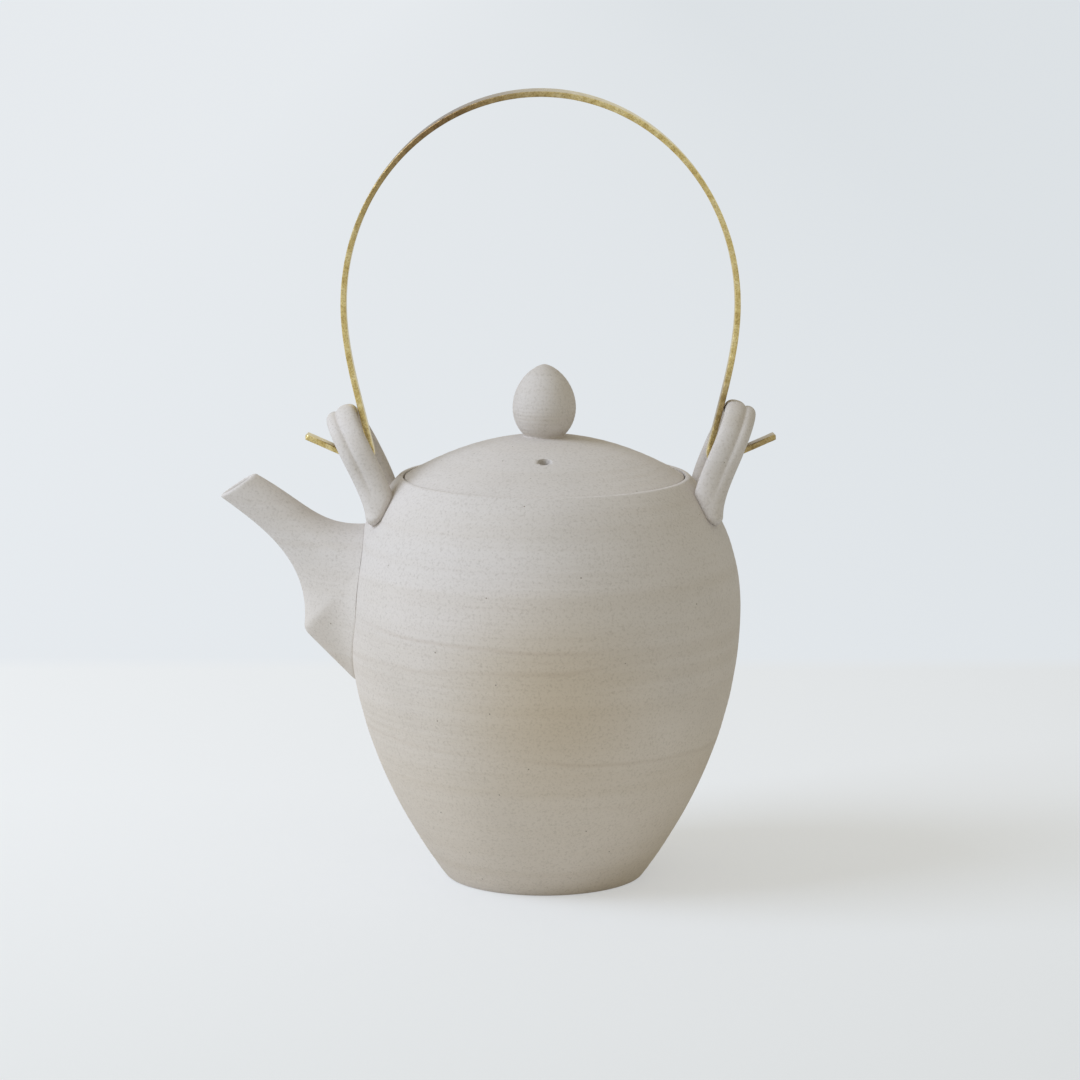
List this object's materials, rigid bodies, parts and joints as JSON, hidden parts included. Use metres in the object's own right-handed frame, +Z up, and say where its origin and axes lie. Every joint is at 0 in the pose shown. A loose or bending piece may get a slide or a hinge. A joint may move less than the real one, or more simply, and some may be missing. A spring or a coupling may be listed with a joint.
{
  "type": "stoneware teapot",
  "caption": "Egg-shaped stoneware teapot with a keeled spout, domed lid with an egg knob, and a brass strip bail hooked through arched strap lugs.",
  "frame": {"origin": "middle of the flat base, on the surface that the teapot stands on", "axes": "+Z up along the pot's turning axis, -X towards the spout, -Y towards the side with the steam hole"},
  "size_m": [0.1605, 0.114, 0.2285],
  "materials": {
    "stoneware": "unglazed pale grey stoneware, fine sandy grain, dry matte",
    "brass": "brushed brass strip, filed edges, lightly toned"
  },
  "bodies": {
    "vessel": {"pot": "stoneware", "spout": "stoneware", "strainer": "stoneware", "lug_spout_side": "stoneware", "lug_far_side": "stoneware"},
    "cover": {"lid": "stoneware", "knob": "stoneware"},
    "handle": {"bail": "brass"}
  },
  "joints": [
    {"name": "lid_lift", "type": "slide", "parent": "vessel", "child": "cover", "axis": [0, 0, 1], "range_m": [0, 0.065]},
    {"name": "bail_swing", "type": "hinge", "parent": "vessel", "child": "handle", "pos_m": [-0.001, 0, 0.1374], "axis": [1, 0, 0], "range_deg": [-24, 24]}
  ]
}
